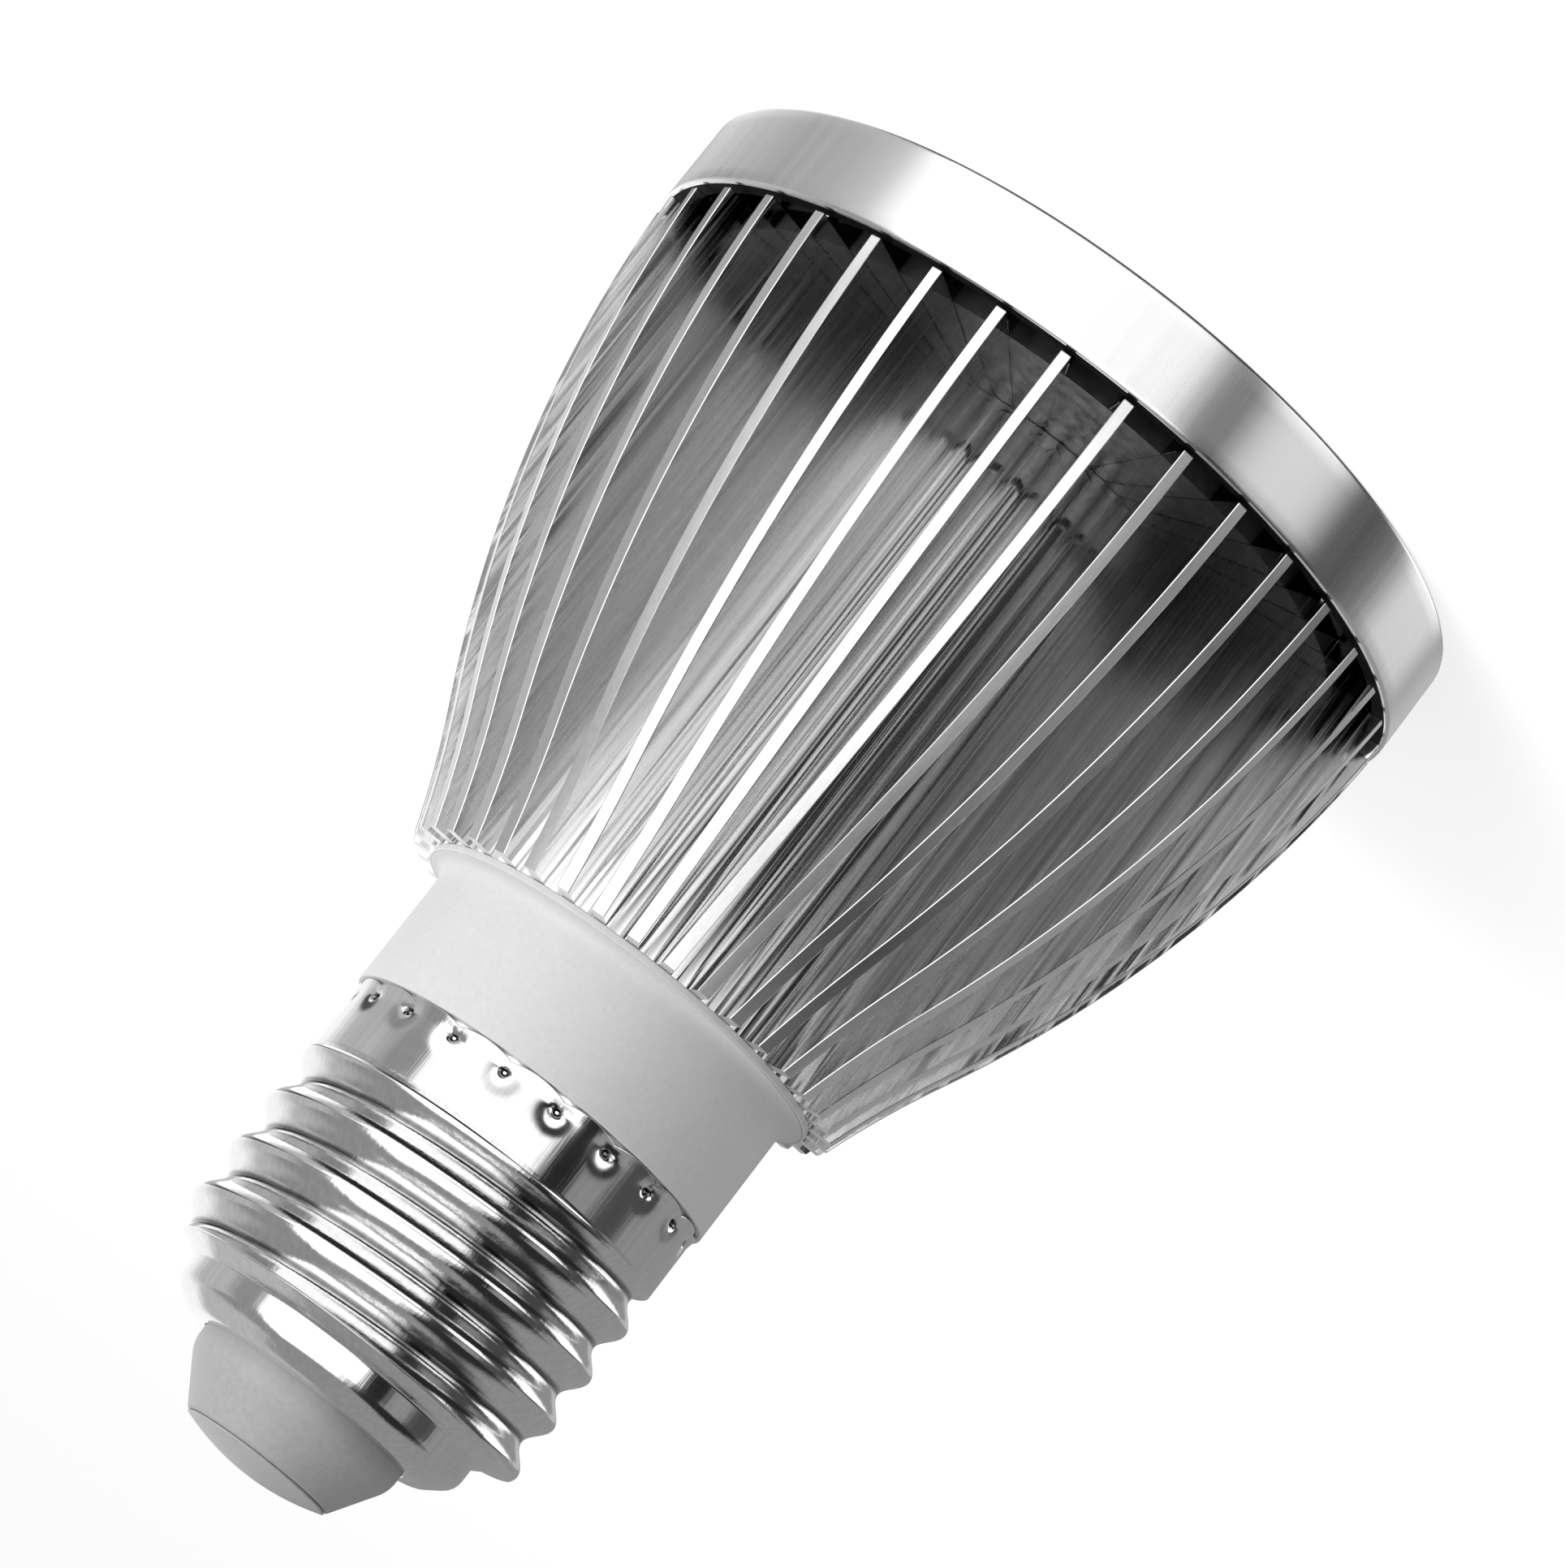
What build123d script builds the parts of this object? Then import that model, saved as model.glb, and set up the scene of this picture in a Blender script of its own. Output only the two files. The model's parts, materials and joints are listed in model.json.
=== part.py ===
from build123d import *
import os

# LED grow lamp with a finned aluminium heat sink and an E27 screw cap, in millimetres.
# The origin is the middle of the front ring's face, on which the lamp stands.
# +Z runs along the lamp's axis from that face to the centre contact of the cap.

# Front ring: a turned aluminium band whose lip holds the window
ring_dia = 57.4
ring_height = 6.2
ring_wall = 1.3
ring_lip_width = 3.5
ring_lip_thickness = 1.2
ring_edge_break = 0.3

# Front window: a clear disc between the lip and the ends of the fins
window_thickness = 1.4
window_clearance = 0.2

# Heat sink: an extruded star of fins, turned outside to a bell and bored from the cap end
fin_count = 38
fin_thickness = 0.85
hub_dia = 28.0
sink_step = 0.1
sink_length = 41.6
sink_lean = 3.4
waist_dia = 39.0
waist_from_end = 7.8
sink_end_dia = 32.4
sleeve_clearance = 0.1
recess_depth = 4.0
floor_thickness = 6.0
bore_dia = 24.4

# LED board: a round metal core board in the recess of the heat sink
led_board_thickness = 1.6
led_board_clearance = 0.2
outer_emitter_count = 8
blue_emitter_every = 4
emitter_circle_dia = 32.0
emitter_width = 5.0
emitter_height = 1.6
emitter_window = 3.8
emitter_window_depth = 0.4
emitter_window_draft = 30

# Board screws: M3 button heads into the floor of the heat sink
screw_count = 2
screw_circle_dia = 19.0
screw_dia = 3.0
screw_length = 6.0
screw_head_dia = 5.5
screw_head_height = 1.5
screw_socket = 2.0
screw_socket_depth = 0.8
screw_clearance = 0.1
screw_tip_room = 0.6

# Neck collar: the moulded driver housing, a tube in the bore with a flared lip outside
collar_dia = 26.5
collar_length = 9.4
collar_wall = 1.4
collar_clearance = 0.2
collar_tube_gap = 1.4
lip_width = 1.3
lip_edge = 0.5
spigot_length = 4.3
spigot_clearance = 0.05

# Screw cap: a rolled E27 shell with its skirt crimped on the collar
shell_wall = 0.4
skirt_dia = 25.8
skirt_length = 4.7
rim_dia = 26.1
rim_height = 0.9
thread_major_dia = 26.3
thread_minor_dia = 24.2
thread_pitch = 3.629
thread_crest_width = 1.0
thread_root_width = 0.8
thread_length = 14.0
thread_run_in = 0.1
thread_start_angle = 96
shoulder_dia = 24.6
shoulder_height = 1.0
bead_dia = 21.3
bead_height = 2.8
bead_radius = 1.7
thread_root_overlap = 0.1
skirt_step = 0.3
shoulder_step = 0.3

# Cap insulator and centre contact
insulator_dia = 15.0
insulator_height = 4.6
insulator_band = 1.2
insulator_end_dia = 10.6
insulator_clearance = 0.05
contact_dia = 10.4
contact_dome = 1.0
contact_pin_dia = 2.0
contact_pin_reach = 1.0

# Driver board and its components, all on the face towards +Y
driver_board_length = 38.0
driver_board_thickness = 1.2
driver_board_set_back = 3.0
driver_board_set_down = 3.6
slot_depth = 0.45
slot_clearance = 0.1
transformer_width = 10.5
transformer_height = 9.0
transformer_depth = 5.0
transformer_leg = 3.0
transformer_yoke = 1.6
winding_length = 11.0
winding_clearance = 0.1
transformer_along = 20.0
input_capacitor_dia = 8.0
input_capacitor_height = 9.0
input_capacitor_across = 3.6
input_capacitor_along = 32.2
output_capacitor_dia = 6.3
output_capacitor_height = 8.0
output_capacitor_across = -2.6
output_capacitor_along = 8.6
rectifier_width = 4.7
rectifier_height = 2.5
rectifier_length = 4.0
rectifier_across = -4.8
rectifier_along = 29.4
chip_width = 3.9
chip_height = 1.5
chip_length = 4.9
chip_across = 4.0
chip_along = 9.0
fuse_dia = 2.8
fuse_length = 6.5
fuse_across = -5.4
fuse_gap = 0.3

# Leads: live to the contact, neutral to the shell, and a pair to the LED board
lead_dia = 1.3
lead_clearance = 0.05
lead_hole_clearance = 0.3
lead_fuse_gap = 0.5
led_lead_overlap = 3.0
led_lead_spacing = 13.6
led_lead_proud = 0.4
live_lead_across = -1.2
live_lead_gap = 0.15
neutral_lead_across = -7.6
neutral_lead_end = 4.5

# Heights along the axis, from the face of the front ring
window_back = ring_lip_thickness + window_thickness
board_seat = window_back + recess_depth
led_board_front = board_seat - led_board_thickness
bore_floor = board_seat + floor_thickness
sink_end = ring_height + sink_length
crimp_edge = sink_end + collar_length
spigot_end = crimp_edge + spigot_length
thread_start = crimp_edge + skirt_length
shoulder_edge = thread_start + thread_length
bead_start = shoulder_edge + shoulder_height
shell_end = bead_start + bead_height
contact_seat = shell_end + insulator_height
contact_tip = contact_seat + contact_dome
collar_tube_end = bore_floor + collar_tube_gap
driver_board_end = spigot_end - driver_board_set_down - driver_board_length
driver_board_face = driver_board_thickness / 2 - driver_board_set_back

# Radii that pieces share
ring_bore_radius = ring_dia / 2 - ring_wall
ring_opening_radius = ring_dia / 2 - ring_lip_width
sleeve_radius = ring_bore_radius - sleeve_clearance
recess_radius = ring_opening_radius
collar_bore_radius = bore_dia / 2 - collar_clearance - collar_wall
skirt_bore_radius = skirt_dia / 2 - shell_wall
thread_bore_radius = thread_minor_dia / 2 - shell_wall
bead_bore_radius = bead_dia / 2 - shell_wall
shell_hole_radius = insulator_dia / 2 + insulator_clearance
lead_hole_radius = lead_dia / 2 + lead_hole_clearance
lead_height = driver_board_face + lead_dia / 2 + lead_clearance
screw_hole_radius = screw_dia / 2 + screw_clearance

# Places that the heat sink, the LED board and the screws share
screw_places = PolarLocations(screw_circle_dia / 2, screw_count, start_angle=90)
led_lead_offset = led_lead_spacing / 2
led_lead_places = Locations((-led_lead_offset, lead_height), (led_lead_offset, lead_height))

os.makedirs("parts", exist_ok=True)


def save(piece, label):
    piece.part.label = label
    export_step(piece.part, f"parts/{label}.step")


# Front ring
with BuildPart() as front_ring:
    with BuildSketch(Plane.XZ):
        with BuildLine():
            Polyline(
                (ring_opening_radius, 0),
                (ring_dia / 2, 0),
                (ring_dia / 2, ring_height),
                (ring_bore_radius, ring_height),
                (ring_bore_radius, ring_lip_thickness),
                (ring_opening_radius, ring_lip_thickness),
                close=True,
            )
        make_face()
    revolve(axis=Axis.Z)
    outer_edges = front_ring.edges().filter_by(GeomType.CIRCLE).group_by(SortBy.RADIUS)[-1]
    chamfer(outer_edges, length=ring_edge_break)
save(front_ring, "front_ring")

# Front window
with BuildPart() as front_window:
    with BuildSketch(Plane.XY.offset(ring_lip_thickness)):
        Circle(ring_bore_radius - window_clearance)
    extrude(amount=window_thickness)
save(front_window, "front_window")

# Heat sink: the star is extruded, then turned to the bell, the ring's step, the recess and the bore
fin_reach = ring_dia / 2
sink_front_radius = ring_dia / 2 - sink_step
with BuildPart() as heat_sink:
    with BuildSketch(Plane.XY.offset(window_back)):
        Circle(hub_dia / 2)
        with PolarLocations(fin_reach / 2, fin_count):
            Rectangle(fin_reach, fin_thickness)
    extrude(amount=sink_end - window_back)
    with BuildSketch(Plane.XZ):
        with BuildLine():
            waist = (waist_dia / 2, sink_end - waist_from_end)
            lean = Vector(0, 1).rotate(Axis.Z, sink_lean)
            bell = TangentArc((sink_front_radius, ring_height), waist, tangent=lean)
            flare = TangentArc(waist, (sink_end_dia / 2, sink_end), tangent=bell % 1)
            Polyline(
                flare @ 1,
                (0, sink_end),
                (0, window_back),
                (sleeve_radius, window_back),
                (sleeve_radius, ring_height),
                bell @ 0,
            )
        make_face()
    revolve(axis=Axis.Z, mode=Mode.INTERSECT)
    with BuildSketch(Plane.XY.offset(window_back)):
        Circle(recess_radius)
    extrude(amount=recess_depth, mode=Mode.SUBTRACT)
    with BuildSketch(Plane.XY.offset(bore_floor)):
        Circle(bore_dia / 2)
    extrude(amount=sink_end - bore_floor, mode=Mode.SUBTRACT)
    with BuildSketch(Plane.XY.offset(board_seat)):
        with screw_places:
            Circle(screw_hole_radius)
    extrude(amount=screw_length - led_board_thickness + screw_tip_room, mode=Mode.SUBTRACT)
    with BuildSketch(Plane.XY.offset(board_seat)):
        with led_lead_places:
            Circle(lead_hole_radius)
    extrude(amount=floor_thickness, mode=Mode.SUBTRACT)
save(heat_sink, "heat_sink")

# LED board
with BuildPart() as led_board:
    with BuildSketch(Plane.XY.offset(led_board_front)):
        Circle(recess_radius - led_board_clearance)
        with screw_places:
            Circle(screw_hole_radius, mode=Mode.SUBTRACT)
        with led_lead_places:
            Circle(lead_hole_radius, mode=Mode.SUBTRACT)
    extrude(amount=led_board_thickness)
save(led_board, "led_board")


# LED emitters: square surface mount packages with a sunk window for the resin
def make_emitter(place, label):
    mounting = Plane((place.X, place.Y, led_board_front), z_dir=(0, 0, -1))
    with BuildPart() as emitter:
        with BuildSketch(mounting):
            Rectangle(emitter_width, emitter_width)
        extrude(amount=emitter_height)
        with BuildSketch(mounting.offset(emitter_height)):
            Rectangle(emitter_window, emitter_window)
        extrude(amount=-emitter_window_depth, taper=emitter_window_draft, mode=Mode.SUBTRACT)
    save(emitter, label)


# One blue emitter in the middle, and every fourth one on the circle is blue too
half_step = 180 / outer_emitter_count
outer_places = PolarLocations(emitter_circle_dia / 2, outer_emitter_count, half_step)
emitters = [("blue", Vector(0, 0))]
for index, location in enumerate(outer_places.locations):
    colour = "red" if index % blue_emitter_every else "blue"
    emitters.append((colour, location.position))
for colour in ("red", "blue"):
    places = [place for shade, place in emitters if shade == colour]
    for number, place in enumerate(places, start=1):
        make_emitter(place, f"{colour}_emitter_{number}")

# Board screws
with BuildPart() as board_screws:
    with BuildSketch(Plane.XY.offset(led_board_front)):
        with screw_places:
            Circle(screw_dia / 2)
    extrude(amount=screw_length)
    with BuildSketch(Plane.XY.offset(led_board_front)):
        with screw_places:
            Circle(screw_head_dia / 2)
    extrude(amount=-screw_head_height)
    with BuildSketch(Plane.XY.offset(led_board_front - screw_head_height)):
        with screw_places:
            RegularPolygon(screw_socket / 2, 6, major_radius=False)
    extrude(amount=screw_socket_depth, mode=Mode.SUBTRACT)
save(board_screws, "board_screws")

# Neck collar
with BuildPart() as neck_collar:
    tube_radius = bore_dia / 2 - collar_clearance
    spigot_radius = skirt_bore_radius - spigot_clearance
    lip_radius = collar_dia / 2 + lip_width
    flare_end = sink_end + lip_edge + lip_width
    with BuildSketch(Plane.XZ):
        with BuildLine():
            flare = TangentArc(
                (collar_dia / 2, flare_end), (lip_radius, sink_end + lip_edge), tangent=(0, -1)
            )
            Polyline(
                flare @ 1,
                (lip_radius, sink_end),
                (tube_radius, sink_end),
                (tube_radius, collar_tube_end),
                (collar_bore_radius, collar_tube_end),
                (collar_bore_radius, spigot_end),
                (spigot_radius, spigot_end),
                (spigot_radius, crimp_edge),
                (collar_dia / 2, crimp_edge),
                flare @ 0,
            )
        make_face()
    revolve(axis=Axis.Z)
    slot_width = 2 * (collar_bore_radius + slot_depth)
    with BuildSketch(Plane.XY.offset(driver_board_end)):
        with Locations((0, -driver_board_set_back)):
            Rectangle(slot_width, driver_board_thickness + 2 * slot_clearance)
    extrude(amount=spigot_end - driver_board_end, mode=Mode.SUBTRACT)
save(neck_collar, "neck_collar")

# Screw thread: a right-hand ridge along a helix between the skirt and the shoulder
with BuildPart() as thread_ridge:
    root_radius = thread_minor_dia / 2 - thread_root_overlap
    root_half = (thread_pitch - thread_root_width) / 2
    crest_half = thread_crest_width / 2
    first_turn = thread_start + skirt_step + thread_run_in + root_half
    last_turn = shoulder_edge - shoulder_step - thread_run_in - root_half
    with BuildLine() as thread_path:
        Helix(
            thread_pitch,
            last_turn - first_turn,
            thread_minor_dia / 2,
            center=(0, 0, first_turn),
        )
    with BuildSketch(Plane.XZ):
        with BuildLine():
            Polyline(
                (root_radius, first_turn - root_half),
                (thread_major_dia / 2, first_turn - crest_half),
                (thread_major_dia / 2, first_turn + crest_half),
                (root_radius, first_turn + root_half),
                close=True,
            )
        make_face()
    sweep(path=thread_path.line, is_frenet=True)

# Screw shell: the drawn shell with its skirt, shoulder and bead, and the rolled thread
with BuildPart() as screw_shell:
    with BuildSketch(Plane.XZ):
        with BuildLine():
            bead_top = shell_end - bead_radius
            bead = TangentArc(
                (bead_dia / 2, bead_top), (bead_dia / 2 - bead_radius, shell_end), tangent=(0, 1)
            )
            Polyline(
                bead @ 1,
                (shell_hole_radius, shell_end),
                (shell_hole_radius, shell_end - shell_wall),
                (bead_bore_radius, shell_end - shell_wall - bead_radius / 2),
                (bead_bore_radius, bead_start),
                (thread_bore_radius, shoulder_edge),
                (thread_bore_radius, thread_start),
                (skirt_bore_radius, thread_start),
                (skirt_bore_radius, crimp_edge),
                (rim_dia / 2, crimp_edge),
                (skirt_dia / 2, crimp_edge + rim_height),
                (skirt_dia / 2, thread_start),
                (thread_minor_dia / 2, thread_start + skirt_step),
                (thread_minor_dia / 2, shoulder_edge - shoulder_step),
                (shoulder_dia / 2, shoulder_edge),
                (bead_dia / 2, bead_start),
                bead @ 0,
            )
        make_face()
    revolve(axis=Axis.Z)
    add(thread_ridge.part, rotation=(0, 0, thread_start_angle))
save(screw_shell, "screw_shell")

# Cap insulator: a plug in the end of the shell, a short band and a cone outside
with BuildPart() as cap_insulator:
    plug_radius = bead_bore_radius - insulator_clearance
    plug_top = shell_end - shell_wall - insulator_clearance
    pin_hole_radius = contact_pin_dia / 2 + insulator_clearance
    with BuildSketch(Plane.XZ):
        with BuildLine():
            Polyline(
                (pin_hole_radius, bead_start),
                (plug_radius, bead_start),
                (plug_radius, plug_top - bead_radius / 2),
                (insulator_dia / 2, plug_top),
                (insulator_dia / 2, shell_end + insulator_band),
                (insulator_end_dia / 2, contact_seat),
                (pin_hole_radius, contact_seat),
                close=True,
            )
        make_face()
    revolve(axis=Axis.Z)
save(cap_insulator, "cap_insulator")

# Centre contact: a shallow dome with a pin through the insulator
with BuildPart() as centre_contact:
    pin_end = bead_start - contact_pin_reach
    with BuildSketch(Plane.XZ):
        with BuildLine():
            dome = TangentArc((0, contact_tip), (contact_dia / 2, contact_seat), tangent=(1, 0))
            Polyline(
                dome @ 1,
                (contact_pin_dia / 2, contact_seat),
                (contact_pin_dia / 2, pin_end),
                (0, pin_end),
                dome @ 0,
            )
        make_face()
    revolve(axis=Axis.Z)
save(centre_contact, "centre_contact")

# Driver board: it slides into the slots of the collar's tube
with BuildPart() as driver_board:
    board_width = 2 * (collar_bore_radius + slot_depth - slot_clearance)
    with BuildSketch(Plane.XY.offset(driver_board_end)):
        with Locations((0, -driver_board_set_back)):
            Rectangle(board_width, driver_board_thickness)
    extrude(amount=driver_board_length)
save(driver_board, "driver_board")


# A plane on the component face of the driver board, with its normal towards +Y
def on_board(across, along):
    place = (across, driver_board_face, driver_board_end + along)
    return Plane(place, x_dir=(1, 0, 0), z_dir=(0, 1, 0))


# Transformer core: two windows on either side of the middle leg
with BuildPart() as transformer_core:
    window_width = (transformer_width - transformer_leg) / 2 - transformer_yoke
    window_height = transformer_height - 2 * transformer_yoke
    window_offset = (transformer_leg + window_width) / 2
    core_plane = on_board(0, transformer_along)
    with BuildSketch(core_plane):
        Rectangle(transformer_width, transformer_depth)
    extrude(amount=transformer_height)
    with BuildSketch(core_plane.offset(transformer_yoke)):
        with Locations((-window_offset, 0), (window_offset, 0)):
            Rectangle(window_width, transformer_depth)
    extrude(amount=window_height, mode=Mode.SUBTRACT)
save(transformer_core, "transformer_core")

# Transformer winding: a taped coil around the middle leg
with BuildPart() as transformer_winding:
    winding_width = transformer_leg + 2 * window_width - 2 * winding_clearance
    with BuildSketch(core_plane.offset(transformer_yoke + winding_clearance)):
        Rectangle(winding_width, winding_length)
        leg_room = 2 * winding_clearance
        Rectangle(transformer_leg + leg_room, transformer_depth + leg_room, mode=Mode.SUBTRACT)
    extrude(amount=window_height - 2 * winding_clearance)
save(transformer_winding, "transformer_winding")


# Capacitors: upright cans
def make_capacitor(plane, diameter, height, label):
    with BuildPart() as capacitor:
        with BuildSketch(plane):
            Circle(diameter / 2)
        extrude(amount=height)
    save(capacitor, label)


make_capacitor(
    on_board(input_capacitor_across, input_capacitor_along),
    input_capacitor_dia,
    input_capacitor_height,
    "input_capacitor",
)
make_capacitor(
    on_board(output_capacitor_across, output_capacitor_along),
    output_capacitor_dia,
    output_capacitor_height,
    "output_capacitor",
)


# Moulded packages: the rectifier and the driver chip
def make_package(plane, width, height, length, label):
    with BuildPart() as package:
        with BuildSketch(plane):
            Rectangle(width, length)
        extrude(amount=height)
    save(package, label)


make_package(
    on_board(rectifier_across, rectifier_along),
    rectifier_width,
    rectifier_height,
    rectifier_length,
    "bridge_rectifier",
)
make_package(on_board(chip_across, chip_along), chip_width, chip_height, chip_length, "driver_chip")

# Fuse resistor: a small body that lies across the board
with BuildPart() as fuse_resistor:
    fuse_height = driver_board_face + fuse_dia / 2 + lead_clearance
    fuse_along = rectifier_along + (rectifier_length + fuse_dia) / 2 + fuse_gap
    fuse_start = (fuse_across - fuse_length / 2, fuse_height, driver_board_end + fuse_along)
    with BuildSketch(Plane(fuse_start, z_dir=(1, 0, 0))):
        Circle(fuse_dia / 2)
    extrude(amount=fuse_length)
save(fuse_resistor, "fuse_resistor")


# Leads: round insulated wire, pulled straight from the driver board to what it feeds
def make_lead(start, end, label):
    with BuildPart() as lead:
        run = Vector(*end) - Vector(*start)
        with BuildSketch(Plane(start, z_dir=run)):
            Circle(lead_dia / 2)
        extrude(amount=run.length)
    save(lead, label)


lead_start = driver_board_end + fuse_along + fuse_dia / 2 + lead_fuse_gap
shell_contact = thread_bore_radius - lead_dia / 2 - lead_clearance
make_lead(
    (live_lead_across, lead_height, lead_start),
    (0, 0, pin_end - live_lead_gap),
    "live_lead",
)
make_lead(
    (neutral_lead_across, lead_height, lead_start),
    (-shell_contact, 0, thread_start + neutral_lead_end),
    "neutral_lead",
)

# The LED leads run through the floor of the heat sink to the front of the LED board
led_lead_start = driver_board_end + led_lead_overlap
led_lead_end = led_board_front - led_lead_proud
for across, label in (
    (-led_lead_offset, "led_lead_negative"),
    (led_lead_offset, "led_lead_positive"),
):
    make_lead((across, lead_height, led_lead_start), (across, lead_height, led_lead_end), label)
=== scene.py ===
# %% [markdown]
# LED grow light bulb.
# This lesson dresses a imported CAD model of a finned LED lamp. The CAD gives every size and place;
# Blender adds the fine forms, the finishes, the light and the camera. The lamp stands on its front ring
# with the cap up, and +Z runs along its axis.

# %% Load the frame
import json
import math

import bmesh
import bpy
import numpy as np
from mathutils import Matrix, Vector

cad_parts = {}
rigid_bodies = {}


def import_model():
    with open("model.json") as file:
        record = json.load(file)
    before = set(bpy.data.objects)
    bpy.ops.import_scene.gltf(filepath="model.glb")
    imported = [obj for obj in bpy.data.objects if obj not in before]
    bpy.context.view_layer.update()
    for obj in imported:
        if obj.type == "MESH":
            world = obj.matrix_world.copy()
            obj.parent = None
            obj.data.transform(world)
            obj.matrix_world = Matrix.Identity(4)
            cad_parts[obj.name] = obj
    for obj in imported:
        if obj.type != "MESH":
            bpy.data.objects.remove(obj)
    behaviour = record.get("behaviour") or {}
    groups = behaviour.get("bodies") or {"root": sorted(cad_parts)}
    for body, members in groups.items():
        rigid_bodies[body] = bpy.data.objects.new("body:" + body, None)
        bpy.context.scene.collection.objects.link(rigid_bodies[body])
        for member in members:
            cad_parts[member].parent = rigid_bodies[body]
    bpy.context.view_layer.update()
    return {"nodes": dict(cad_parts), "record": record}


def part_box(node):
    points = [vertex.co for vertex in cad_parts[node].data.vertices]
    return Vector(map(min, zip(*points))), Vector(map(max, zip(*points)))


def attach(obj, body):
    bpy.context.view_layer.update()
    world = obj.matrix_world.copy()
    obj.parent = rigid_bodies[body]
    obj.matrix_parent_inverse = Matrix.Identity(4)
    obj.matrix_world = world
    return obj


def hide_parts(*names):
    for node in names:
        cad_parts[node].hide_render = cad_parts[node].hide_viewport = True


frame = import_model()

mm = 0.001
print("nodes in the frame:", len(frame["nodes"]))

# %% [markdown]
# Grids. Every new piece is a grid of points: columns run round the axis and rows run along a profile.
# Blender has a Spin tool and a Screw modifier for turned shapes, but with numpy the whole surface is
# one formula, and the same few lines serve the thread and the fins too. A piece that stands for a CAD
# node keeps its form, so its sizes come from the node's box. The few that a box cannot tell, such as a
# wall, are written in millimetres.


# %% Grid helpers
def grid_quads(rows, columns, closed_rows):
    """Corner numbers of a grid's quads. Point (i, j) is number i * columns + j, and a quad joins
    it to column j + 1 and row i + 1. The columns close on themselves, and the rows may."""
    first_rows = np.arange(rows if closed_rows else rows - 1)
    i, j = np.meshgrid(first_rows, np.arange(columns), indexing="ij")
    after, beside = (i + 1) % rows, (j + 1) % columns
    corners = (i * columns + j, i * columns + beside, after * columns + beside, after * columns + j)
    return np.stack(corners, axis=-1).reshape(-1, 4)


def add_piece(name, points, quads, node, marks=(), crisp=math.pi):
    """A smooth mesh from points and quads that stands for a CAD node and rides with the lamp.
    Each mark is a named number per point, for a finish to read. Points that share a place, as
    at a pole on the axis, are welded, and edges that bend by more than crisp stay sharp."""
    weld = 0.0005 * mm
    mesh = bpy.data.meshes.new(name)
    mesh.from_pydata(points.reshape(-1, 3).tolist(), [], quads.tolist())
    for mark, values in marks:
        mesh.attributes.new(mark, "FLOAT", "POINT").data.foreach_set("value", values.ravel())
    work = bmesh.new()
    work.from_mesh(mesh)
    bmesh.ops.remove_doubles(work, verts=work.verts, dist=weld)
    work.to_mesh(mesh)
    work.free()
    mesh.shade_smooth()
    mesh.set_sharp_from_angle(angle=crisp)
    piece = bpy.data.objects.new(name, mesh)
    bpy.context.scene.collection.objects.link(piece)
    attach(piece, "root")
    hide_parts(node)
    print(name, "quads:", len(mesh.polygons))
    return piece


print("quads of a closed grid of 3 by 4:", len(grid_quads(3, 4, True)))

# %% [markdown]
# Turned profiles. Most pieces of this lamp were turned or moulded round one axis, so a section in
# radius and height tells their whole form. A sharp corner in it would shade like folded paper, while a
# real edge is always a little round. The Bevel modifier could round the mesh; here the section itself
# gets soft corners before it is turned, because then each corner can have its own size.


# %% Profile helpers
def rounded(section, steps=6):
    """A closed outline with soft corners, from rows of radius, height and setback. A corner P is left
    at S, one setback before it, and at E, one setback after it. Between them runs
    (1-u)^2 S + 2u(1-u) P + u^2 E, for u from 0 to 1. One more point near each end of a straight run,
    a small share of its length in, keeps the shading of the run flat."""
    rows = np.asarray(section, float)
    corner, setback = rows[:, :2], rows[:, 2:]
    before = np.roll(corner, 1, axis=0) - corner
    after = np.roll(corner, -1, axis=0) - corner
    before /= np.linalg.norm(before, axis=1, keepdims=True)
    after /= np.linalg.norm(after, axis=1, keepdims=True)
    start, end = corner + before * setback, corner + after * setback
    u = np.linspace(0, 1, steps)[None, :, None]
    bridge = (1 - u) ** 2 * start[:, None] + 2 * u * (1 - u) * corner[:, None] + u**2 * end[:, None]
    lead_share = 0.15
    lead_in = (start + lead_share * (np.roll(end, 1, axis=0) - start))[:, None]
    lead_out = (end + lead_share * (np.roll(start, -1, axis=0) - end))[:, None]
    return np.concatenate((lead_in, bridge, lead_out), axis=1).reshape(-1, 2)


def turned(profile, columns):
    """A profile of (radius, height) rows turned round Z: x = r cos a, y = r sin a, z = height."""
    angle = np.linspace(0, 2 * np.pi, columns, endpoint=False)
    radius, height = profile[:, 0, None], profile[:, 1, None]
    rows = (radius * np.cos(angle), radius * np.sin(angle), height + 0 * angle)
    return np.stack(rows, axis=-1)


def add_turned(name, profile, columns, node):
    """A closed profile turned to a closed surface, as one piece."""
    points = turned(profile, columns)
    return add_piece(name, points, grid_quads(len(profile), columns, True), node)


square = ((1, 0, 0.1), (2, 0, 0.1), (2, 1, 0.1), (1, 1, 0.1))
print("points of a square with soft corners:", len(rounded(square)))

# %% [markdown]
# Front ring. On the lamp this is a turned aluminium band with an inner lip over the window. Its section
# is an L with small edge breaks. A bevelled tube would do, but turning the section gives band and lip
# at once, and the soft corners catch the thin bright and dark lines that a real machined edge shows.

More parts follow.
